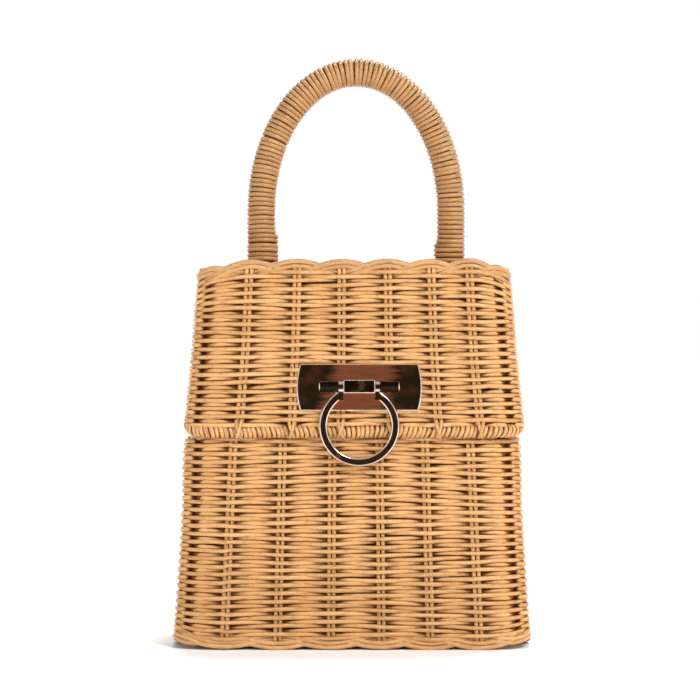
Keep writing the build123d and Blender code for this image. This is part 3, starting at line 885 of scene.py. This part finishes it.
def lid_rows(sizes):
    """The weavers of the lid's skirt: each ends at the bound edge on both sides."""
    rng = np.random.default_rng(sizes.seed + 11)
    start = EDGE_Z + BINDING_R - 0.4
    depths = np.linspace(EDGE_Y, BACK_Y, 200)
    loose = slips(sizes.seed + 14, sizes.gaps, 480.0, EDGE_Z + 8, LID_TOP - 8)
    top = LID_TOP - 2 * BORDER_R + 0.8
    rows = int((top - start) / (sizes.lid_pitch / MM))
    sway = waves(sizes.seed + 12, 7, 130.0, 60.0)
    wander = waves(sizes.seed + 13, 9, 34.0, 5.0)
    strands = []
    for row in range(rows):
        z = start + (row + 0.5) * (top - start) / rows
        shape = level_at(LID_LEVELS, z, WALL / 2 - SWELL * 0.7)
        lengths = stretches(shape)
        reach = np.interp(z, edge_height(depths), depths) - shape[1] - shape[3] - 1.0
        reach = min(reach, lengths[2])
        if reach < -shape[3]:
            continue
        low = -lengths[7] - reach
        high = lengths[0] + lengths[1] + reach
        places, total = stake_places(shape, LID_FRONT)
        edges = np.concatenate([places - total, places])
        s = np.concatenate([a + (b - a) * STEPS_BETWEEN for a, b in zip(edges[:-1], edges[1:])])
        s = s[(s > low + 0.8) & (s < high - 0.8)]
        s = np.concatenate([[low], s, [high]])
        flat, normal = around(shape, s)
        out = crossing(s, places, total, row, sizes.tuck, CORNERS)
        points = flat + normal * (out * sizes.lift / MM)[:, None]
        still = corner_calm(s, places, total)
        uneven = sizes.wander / MM * wander(s, row * 7.7) + loose(s, z)
        droop = (sizes.sway / MM * sway(s, z) + still * uneven) * min(1.0, (top - z) / 4 + 0.3)
        points[:, 2] = z + droop + 0.08 * rng.standard_normal()
        points[:, 2] += top_droop(points) * max(0.0, 1 - (top - z) / 24)
        size = varied(rng, sizes.weaver_radius / MM * 1.03, 0.05)
        tall = size * sunk_height(out)
        strands.append(Strand(points, normal, size * 0.95, tall, False, out, strand_seed(rng)))
    return strands


def braid(levels, fronts, height, rise, out, radius, low_s, high_s, seed, lift, lanes=2):
    """A plaited border: pairs of canes that each arch over one stake pair and tuck in beyond it."""
    rng = np.random.default_rng(seed)
    shape = level_at(levels, height, WALL / 2 - SWELL * 0.6)
    places, total = stake_places(shape, fronts)
    edges = np.concatenate([places - total, places, places + total])
    strands = []
    for k in range(len(edges) - 2):
        if edges[k] < low_s - NEAR or edges[k] > high_s - NEAR:
            continue
        t = np.linspace(-0.04, 2.0, 27)
        s = np.interp(t, [-1, 0, 1, 2], edges[k - 1 : k + 3] if k else edges[[0, 0, 1, 2]])
        flat, normal = around(shape, s)
        bend = np.clip(t, 0, 2)
        arch = np.sin(math.pi * bend / 2) ** 1.5
        settle = np.interp(t, [0, 0.3, 1, 1.7, 2], [-1.0, 0.1, 1.0, -0.2, -1.3])
        wobble = 0.25 * rng.standard_normal()
        for lane in range(lanes):
            inner = 1.75 if lane == 2 else 0.0
            points = flat + normal * (out * settle + (0.5 - lane) * 0.5 - inner)[:, None]
            points[:, 2] = height + rise * (arch - 1) - np.sign(rise) * (lane % 2) * 1.7 * radius
            points[:, 2] += wobble * arch * (0.7 if lane else 1.0)
            points[:, 2] += lift(points)
            size = varied(rng, radius, 0.05)
            # The inner lane's lower depth makes the finish paint it in shade inside the border.
            depth = 0.5 * settle + (-0.3 if lane == 2 else 0.4)
            strands.append(Strand(points, normal, size, size, False, depth, strand_seed(rng)))
    return strands


def lashing(line, half_out, half_up, pitch, cane_out, cane_along, seed, lean):
    """A cane wound round a hoop, given as its middle line and its outward and upward directions."""
    path, outs, ups = line
    rng = np.random.default_rng(seed)
    length = line_length(path)
    turns = int(round(length[-1] / pitch))
    strands = []
    for spot in np.arange(turns) * length[-1] / turns:
        lie = along_line(path, length, np.array([spot]))[0]
        if near_loop(lie):
            continue
        slant = pitch * (0.5 + 0.12 * rng.standard_normal())
        tilt = pitch * lean * np.clip((lie[0] - CLASP_X / MM) / 12, -1, 1)
        angle = np.arange(LASHING_POINTS) * 2 * math.pi / LASHING_POINTS
        where = spot + slant * np.cos(angle) * 0.5 + tilt * np.sin(angle)
        where = np.clip(where + 0.06 * pitch * rng.standard_normal(), 0, length[-1])
        middle, out, up = (along_line(values, length, where) for values in (path, outs, ups))
        size = varied(rng, 1, 0.04)
        spoke = out * (np.cos(angle) * half_out)[:, None] + up * (np.sin(angle) * half_up)[:, None]
        normal = out * np.cos(angle)[:, None] + up * np.sin(angle)[:, None]
        points = middle + spoke * size
        strands.append(
            Strand(points, normal, cane_out, cane_along * size, True, 0.9, strand_seed(rng))
        )
    return strands


def crossings():
    """Pairs of stake ends that come down over the lid's bound edge and cross each other."""
    rng = np.random.default_rng(19)
    shape = level_at(LID_LEVELS, EDGE_Z, WALL / 2 - SWELL)
    places, _ = stake_places(shape, LID_FRONT)
    strands = []
    for place in places[: len(LID_FRONT)]:
        for side in (-1, 1):
            t = np.linspace(0, 1, 12)
            s = place + side * (1.25 - 2.3 * t**1.5) + 0.3 * rng.standard_normal() * t
            flat, normal = around(shape, s)
            over = np.interp(t, [0, 0.35, 0.75, 1.0], [0.6, 2.7, 2.6, 0.2])
            points = flat + normal * (over + 0.25 * side)[:, None]
            points[:, 2] = EDGE_Z + 5.5 - 8.6 * t
            strands.append(Strand(points, normal, 0.85, 0.9, False, 0.8, strand_seed(rng)))
    return strands


def mat_strands(area, z, pitch, radius, lift, stakes, seed, gap, sink):
    """A flat woven mat inside a rounded rectangle: weavers across it and stake pairs along it."""
    half, front, back, corner = area
    rng = np.random.default_rng(seed)
    rows = int((back - front) / pitch)
    strands = []
    xs = np.array([-1.08] + list(stakes) + [1.08]) * half
    for row in range(rows):
        y = front + (row + 0.5) * (back - front) / rows
        into = max(0.0, corner - (y - front), corner - (back - y))
        reach = half - corner + math.sqrt(max(corner**2 - into**2, 0.0)) - radius
        s = [a + (b - a) * np.arange(6) / 6 for a, b in zip(xs[:-1], xs[1:])]
        s = np.unique(np.concatenate(s))
        s = np.concatenate([[-reach], s[np.abs(s) < reach - 0.8], [reach]])
        flatter = 1 - 0.85 * eased(np.abs(s), 0.8 * half, half)
        out = crossing(s, xs, 0.0, row, 1.5) * flatter
        points = np.stack([s, np.full_like(s, y), z + out * lift], axis=1)
        points[:, 1] += 0.07 * np.sin(s / 9 + row * 1.7) + 0.06 * rng.standard_normal()
        normal = np.tile([0.0, 0.0, 1.0], (len(s), 1))
        size = varied(rng, radius, 0.05)
        depth = np.abs(out) * 0.5 + 0.5
        strands.append(Strand(points, normal, size, size * 1.16, False, depth, strand_seed(rng)))
    for share in stakes:
        for side in (-1, 1):
            x = share * half + side * gap / 2
            into = max(0.0, corner - (half - abs(x)))
            trim = corner - math.sqrt(max(corner**2 - into**2, 0.0)) + radius
            y = np.linspace(front + trim, back - trim, 12)
            points = np.stack([np.full_like(y, x), y, np.full_like(y, z)], axis=1)
            normal = np.tile([0.0, 0.0, 1.0], (len(y), 1))
            strands.append(Strand(points, normal, radius, radius, False, 0.8, strand_seed(rng)))
    for strand in strands:
        strand.points[:, 2] += sink(strand.points)
    return strands


def ring_line(shape, z, count):
    """A closed level line with its outward and upward directions, its last point on its first."""
    total = stretches(shape).sum()
    flat, normal = around(shape, np.linspace(0, total, count) - SHY)
    flat[:, 2] = z
    return flat, normal, np.tile([0.0, 0.0, 1.0], (count, 1))


def edge_line(count):
    """The middle line of the lid's bound edge, with its outward direction and the way up the wall."""
    shape = (LID_HALF_EDGE - BINDING_R, EDGE_Y, BACK_Y, BOUND_CORNER)
    total = stretches(shape).sum()
    flat, normal = around(shape, np.linspace(0, total, count) - SHY)
    height = edge_height(flat[:, 1])
    narrow = 1 - (height - EDGE_Z) * SIDE_SLOPE / shape[0]
    points = np.stack([flat[:, 0] * narrow, flat[:, 1], height], axis=1)
    tangent = np.roll(points, -1, axis=0) - np.roll(points, 1, axis=0)
    tangent[0] = tangent[-1] = points[1] - points[-2]
    tangent = unit(tangent)
    outs = square_to(normal, tangent)
    return points, outs, np.cross(outs, tangent)


def handle_path():
    """The middle line of the handle, from its left foot over the arch to its right foot."""
    radius = (WRAP_HIGH[1] - WRAP_LOW[1]) / 2
    middle = (WRAP_LOW[0] + WRAP_HIGH[0]) / 2
    leg = (WRAP_HIGH[0] - WRAP_LOW[0]) / 2 - radius
    spring = WRAP_HIGH[2] - radius - HANDLE_RISE
    angle = np.linspace(math.pi, 0, 400)
    arch = [middle + leg * np.cos(angle), angle * 0, spring + HANDLE_RISE * np.sin(angle)]
    up = np.linspace(WRAP_LOW[2] + 1.2, spring, 40, endpoint=False)
    left = np.stack([np.full(40, middle - leg), np.zeros(40), up], axis=1)
    right = left[::-1].copy()
    right[:, 0] = middle + leg
    return np.concatenate([left, np.stack(arch, axis=1), right]), radius


def handle_strands():
    """The handle's winding, one turn beside the other, a little thicker at the feet."""
    path, radius = handle_path()
    tangent = unit(np.gradient(path, axis=0))
    outward = np.cross(np.tile(FORWARD, (len(path), 1)), tangent)
    length = line_length(path)
    rng = np.random.default_rng(21)
    wander = waves(22, 6, 40.0, 40.0)
    angle = np.arange(TURN_POINTS) * 2 * math.pi / TURN_POINTS
    face = np.tile(FORWARD, (TURN_POINTS, 1))
    strands = []
    for turn in range(int(length[-1] / TURN_PITCH)):
        along = (turn + 0.5) * TURN_PITCH
        tilt = 0.4 * TURN_PITCH + 0.12 * rng.standard_normal()
        where = along + tilt * 0.5 * np.cos(angle) + 0.12 * rng.standard_normal()
        where = np.clip(where, 0, length[-1])
        middle = along_line(path, length, where)
        out = unit(along_line(outward, length, where))
        spoke = face * np.cos(angle)[:, None] + out * np.sin(angle)[:, None]
        grow = 1 + 0.012 * wander(turn * TURN_PITCH, 0.0)
        foot = 1 - eased(along, 14.0, 16.0) + eased(along, length[-1] - 12.0, length[-1] - 9.0)
        foot = FOOT_SWELL * foot
        points = middle + spoke * (radius - TURN_INSET) * (grow + foot) - out * radius * foot
        thick = varied(rng, 1.2, 0.03)
        strands.append(Strand(points, spoke, 1.05, thick, True, 0.9, strand_seed(rng)))
    return strands


def loop_places():
    """How far each back hinge loop stands to the left or the right."""
    boxes = [box_mm(node) for node in HINGE_LOOPS]
    return [(low[0] + high[0]) / 2 for low, high in boxes]


def near_loop(point):
    """True where a lashing has to leave room for a hinge loop."""
    if point[1] < (RIM_LOW[1] + RIM_HIGH[1]) / 2 + 20:
        return False
    return any(abs(point[0] - spot) < LASHING_ROOM for spot in loop_places())


# ---- Sizes and colours that a user would change
def length_prop(name, description, value):
    """A length that a user can change, given in millimetres and kept in metres."""
    return bpy.props.FloatProperty(
        name=name, description=description, default=value * MM, precision=5, unit="LENGTH"
    )


def count_prop(name, description, value):
    """A whole number that a user can change."""
    return bpy.props.IntProperty(name=name, description=description, default=value)


def tone_prop(name, description, *value):
    """A colour that a user can change."""
    return bpy.props.FloatVectorProperty(
        name=name, description=description, subtype="COLOR", size=3, default=srgb(*value)[:3]
    )


class BasketSizes(bpy.types.PropertyGroup):
    """How the canes run."""

    seed: count_prop("Seed", "Start of the random sequence", 41)
    gaps: count_prop("Gaps", "How many longer gaps show between the rows", 30)
    row_pitch: length_prop("Row pitch", "Height of one row of the basket", 1.99)
    lid_pitch: length_prop("Lid row pitch", "Height of one row of the lid", 2.05)
    weaver_radius: length_prop("Weaver radius", "Half a weaver's thickness", 1.16)
    lift: length_prop("Lift", "How far a weaver swings out and in", 1.5)
    tuck: bpy.props.FloatProperty(
        name="Tuck", description="How sharply a weaver turns in beside a stake", default=1.9
    )
    sway: length_prop("Sway", "Slow wave of the rows", 0.5)
    wander: length_prop("Wander", "Uneven spacing of the rows", 0.3)
    stake_radius: length_prop("Stake radius", "Half a stake's thickness", 1.1)
    stake_gap: length_prop("Stake spacing", "Between the two stakes of a pair", 2.4)


class BasketTones(bpy.types.PropertyGroup):
    """The colours of the cane."""

    light: tone_prop("Light", "Brightest cane", 226, 177, 120)
    middle: tone_prop("Middle", "Usual cane", 183, 133, 82)
    dark: tone_prop("Dark", "Brown marks on the cane", 144, 92, 48)
    # The colour of the painted shade between and behind the canes, with a little grime.
    crevice_shade_and_grime: tone_prop("Crevice", "Deep between the canes", 98, 44, 4)


class BASKET_OT_basket(bpy.types.Operator):
    """Weaves the basket's wall, its base and its border"""

    bl_idname = "basket.basket"
    bl_label = "Weave the basket"

    def execute(self, context):
        sizes = context.scene.basket_sizes
        cane = finish("rattan")
        body, upper = basket_rows(sizes)
        weave("basket_weavers", body, cane, "basket", ["basket_wall"])
        weave("neck_weavers", upper, cane, "basket", sides=6)
        stakes = stake_strands(BASKET_LEVELS, BASKET_FRONT, 3.0, RIM_Z - 1.0, sizes, 3)
        weave("basket_stakes", stakes, cane, "basket")
        total = stretches(level_at(BASKET_LEVELS, BORDER_R, WALL / 2)).sum()
        border = braid(
            BASKET_LEVELS, BASKET_FRONT, 1.25, -3.9, 1.3, 1.22, 0.0, total, 5, foot_lift
        )
        weave("base_wale", border, cane, "basket", ["base_border"])
        area = (FLOOR_HIGH[0], FLOOR_LOW[1], FLOOR_HIGH[1], 12.0)
        gap = sizes.stake_gap / MM
        mat = mat_strands(area, 2.6, 2.05, 1.1, 1.2, BASKET_FRONT, 6, gap, foot_lift)
        weave("base_mat", mat, cane, "basket", ["base_panel"])
        return {"FINISHED"}


class BASKET_OT_rim(bpy.types.Operator):
    """Winds the basket's rim"""

    bl_idname = "basket.rim"
    bl_label = "Wind the rim"

    def execute(self, context):
        half = RIM_HIGH[0] - BINDING_R
        shape = (half, RIM_LOW[1] + BINDING_R, RIM_HIGH[1] - BINDING_R, RIM_CORNER)
        line = ring_line(shape, RIM_Z, 400)
        winding = lashing(line, 2.1, 2.1, 2.35, 0.85, 1.12, 7, 0.0)
        weave("rim_lashing", winding, finish("rattan"), "basket", ["rim_binding"])
        return {"FINISHED"}


class BASKET_OT_lid(bpy.types.Operator):
    """Weaves the lid's skirt, its top and its borders"""

    bl_idname = "basket.lid"
    bl_label = "Weave the lid"

    def execute(self, context):
        sizes = context.scene.basket_sizes
        cane = finish("rattan")
        rows = settle_lid(lid_rows(sizes))
        weave("lid_weavers", rows, cane, "lid", ["lid_skirt"])
        stakes = stake_strands(LID_LEVELS, LID_FRONT, EDGE_Z, LID_TOP - 3.4, sizes, 13)
        weave("lid_stakes", settle_lid(stakes), cane, "lid")
        line = edge_line(600)
        winding = lashing(line, 2.2, 2.5, 2.3, 0.9, 1.1, 14, 0.38) + crossings()
        path, outs, _ = line
        # The hoop's core inside the lashing; its low depth makes the cane finish paint shade on it.
        winding.append(Strand(path[:-1:4], outs[:-1:4], 1.5, 1.5, True, -0.4, 77.0))
        bound = ["lid_edge_binding", "lid_edge_hoop"]
        weave("lid_edge_lashing", settle_lid(winding), cane, "lid", bound)
        lengths = stretches(level_at(LID_LEVELS, LID_TOP, WALL / 2))
        reach = lengths[1] + lengths[2]
        end = lengths[0] + reach - 20
        border = braid(
            LID_LEVELS, LID_FRONT, LID_TOP - 0.3, 5.6, 1.0, 1.36, -reach, end, 15, top_droop, 3
        )
        weave("lid_wale", settle_lid(border), finish("border"), "lid", ["lid_border"])
        area = (PANEL_HIGH[0] + 3.0, PANEL_LOW[1] - 2.0, PANEL_HIGH[1], 11.0)
        height = PANEL_LOW[2] + 2.3
        gap = sizes.stake_gap / MM
        mat = mat_strands(area, height, 2.05, 1.2, 1.0, LID_FRONT, 16, gap, panel_droop)
        weave("lid_mat", settle_lid(mat), cane, "lid", ["lid_panel"])
        return {"FINISHED"}


class BASKET_OT_handle(bpy.types.Operator):
    """Winds the handle"""

    bl_idname = "basket.handle"
    bl_label = "Wind the handle"

    def execute(self, context):
        winding = handle_strands()
        dark = finish("rattan_dark")
        weave("handle_winding", winding, dark, "lid", ["handle_wrap"])
        return {"FINISHED"}


class BASKET_OT_metal(bpy.types.Operator):
    """Gives the frame's own canes and metal pieces their finishes"""

    bl_idname = "basket.metal"
    bl_label = "Finish the canes and the clasp"

    def execute(self, context):
        steel = ("clasp_backplate", "plate_studs", "magnet_cup")
        finishes = {
            "cane_core": ("rim_hoop", "handle_core", "handle_pegs"),
            "hinge_cane": HINGE_LOOPS,
            "plate": ("clasp_plate",),
            "block": ("clasp_block",),
            "bar": ("clasp_pin", "pin_ferrules"),
            "ring": ("clasp_ring",),
            "steel": steel + ("strike_disc", "strike_rivet", "strike_washer"),
            "magnet": ("catch_magnet",),
        }
        for name, nodes in finishes.items():
            for node in nodes:
                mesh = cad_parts[node].data
                mesh.materials.clear()
                mesh.materials.append(finish(name))
        return {"FINISHED"}


FLOOR_REACH = 60.0
SENSOR = 36.0
CAMERA_AWAY = 1.3  # from the camera to the basket's front
VIEW_WIDTH = 0.3481  # how much the camera sees there, from side to side


class BASKET_OT_stage(bpy.types.Operator):
    """Sets the pale floor, the soft lights and the camera"""

    bl_idname = "basket.stage"
    bl_label = "Set the studio"

    def execute(self, context):
        scene = context.scene
        mesh = bpy.data.meshes.new("floor")
        ways = ((-1, -1), (1, -1), (1, 1), (-1, 1))
        corners = [(x * FLOOR_REACH, y * FLOOR_REACH, 0.0) for x, y in ways]
        mesh.from_pydata(corners, [], [(0, 1, 2, 3)])
        pale = (0.97, 0.965, 0.965, 1.0)
        matt = {"Base Color": pale, "Roughness": 1.0, "Specular IOR Level": 0.0}
        shader = Shader("Pale_Floor")
        for key, value in matt.items():
            shader.surface.inputs[key].default_value = value
        mesh.materials.append(shader.material)
        floor = bpy.data.objects.new("floor", mesh)
        scene.collection.objects.link(floor)
        lamps = (
            ("overhead", "SUN", (0.12, 0.38, 1.1), math.radians(22), 2.2),
            ("key", "AREA", (0.85, -1.25, 1.4), 0.6, 27.0),
            ("softbox", "AREA", (-1.1, -1.3, 0.6), 0.9, 2.0),
            ("rear", "AREA", (-0.4, 1.7, 0.8), 0.9, 9.0),
        )
        for name, kind, spot, size, power in lamps:
            data = bpy.data.lights.new(name, kind)
            setattr(data, "angle" if kind == "SUN" else "size", size)
            data.energy = power
            lamp = bpy.data.objects.new(name, data)
            lamp.location = spot
            aim = Vector((0.0, 0.0, 0.14)) - lamp.location
            lamp.rotation_euler = aim.to_track_quat("-Z", "Y").to_euler()
            scene.collection.objects.link(lamp)
        world = bpy.data.worlds.new("studio")
        world.use_nodes = True
        sky = Shader.around(world.node_tree)
        up = sky.split(sky.place("Generated"), 2)
        backdrop = world.node_tree.nodes["Background"].inputs
        world.node_tree.links.new(up.ramp(0.3, 0.55, 1.0, 0.4).link, backdrop["Strength"])
        backdrop["Color"].default_value = (1.0, 1.0, 1.0, 1.0)
        scene.world = world
        camera_data = bpy.data.cameras.new("camera")
        camera_data.sensor_width = SENSOR
        camera_data.lens = SENSOR * CAMERA_AWAY / VIEW_WIDTH
        camera = bpy.data.objects.new("camera", camera_data)
        camera.location = (-0.0011, BASE_LOW[1] * MM - CAMERA_AWAY, 0.1492)
        camera.rotation_euler = (math.pi / 2, 0.0, 0.0)
        scene.collection.objects.link(camera)
        scene.camera = camera
        scene.view_settings.view_transform = "Standard"
        return {"FINISHED"}


class BASKET_PT_panel(bpy.types.Panel):
    """Lists the sizes, the colours and the steps"""

    bl_idname = "BASKET_PT_panel"
    bl_label = "Rattan Box Bag"
    bl_space_type = "VIEW_3D"
    bl_region_type = "UI"
    bl_category = "Basket"

    def draw(self, context):
        for group in (context.scene.basket_sizes, context.scene.basket_tones):
            for name in group.bl_rna.properties.keys():
                if name not in ("rna_type", "name"):
                    self.layout.prop(group, name)
        for step in STEPS:
            self.layout.operator(step.bl_idname)


STEPS = (
    BASKET_OT_basket,
    BASKET_OT_rim,
    BASKET_OT_lid,
    BASKET_OT_handle,
    BASKET_OT_metal,
    BASKET_OT_stage,
)
CLASSES = (BasketSizes, BasketTones) + STEPS + (BASKET_PT_panel,)


def register():
    """Adds the classes and their settings."""
    for item in CLASSES:
        bpy.utils.register_class(item)
    bpy.types.Scene.basket_sizes = bpy.props.PointerProperty(type=BasketSizes)
    bpy.types.Scene.basket_tones = bpy.props.PointerProperty(type=BasketTones)


def unregister():
    """Takes the classes and their settings away."""
    del bpy.types.Scene.basket_tones
    del bpy.types.Scene.basket_sizes
    for item in reversed(CLASSES):
        bpy.utils.unregister_class(item)


def main():
    """Makes every piece in turn."""
    register()
    bpy.ops.basket.basket()
    bpy.ops.basket.rim()
    bpy.ops.basket.lid()
    bpy.ops.basket.handle()
    bpy.ops.basket.metal()
    bpy.ops.basket.stage()


if __name__ == "__main__":
    main()
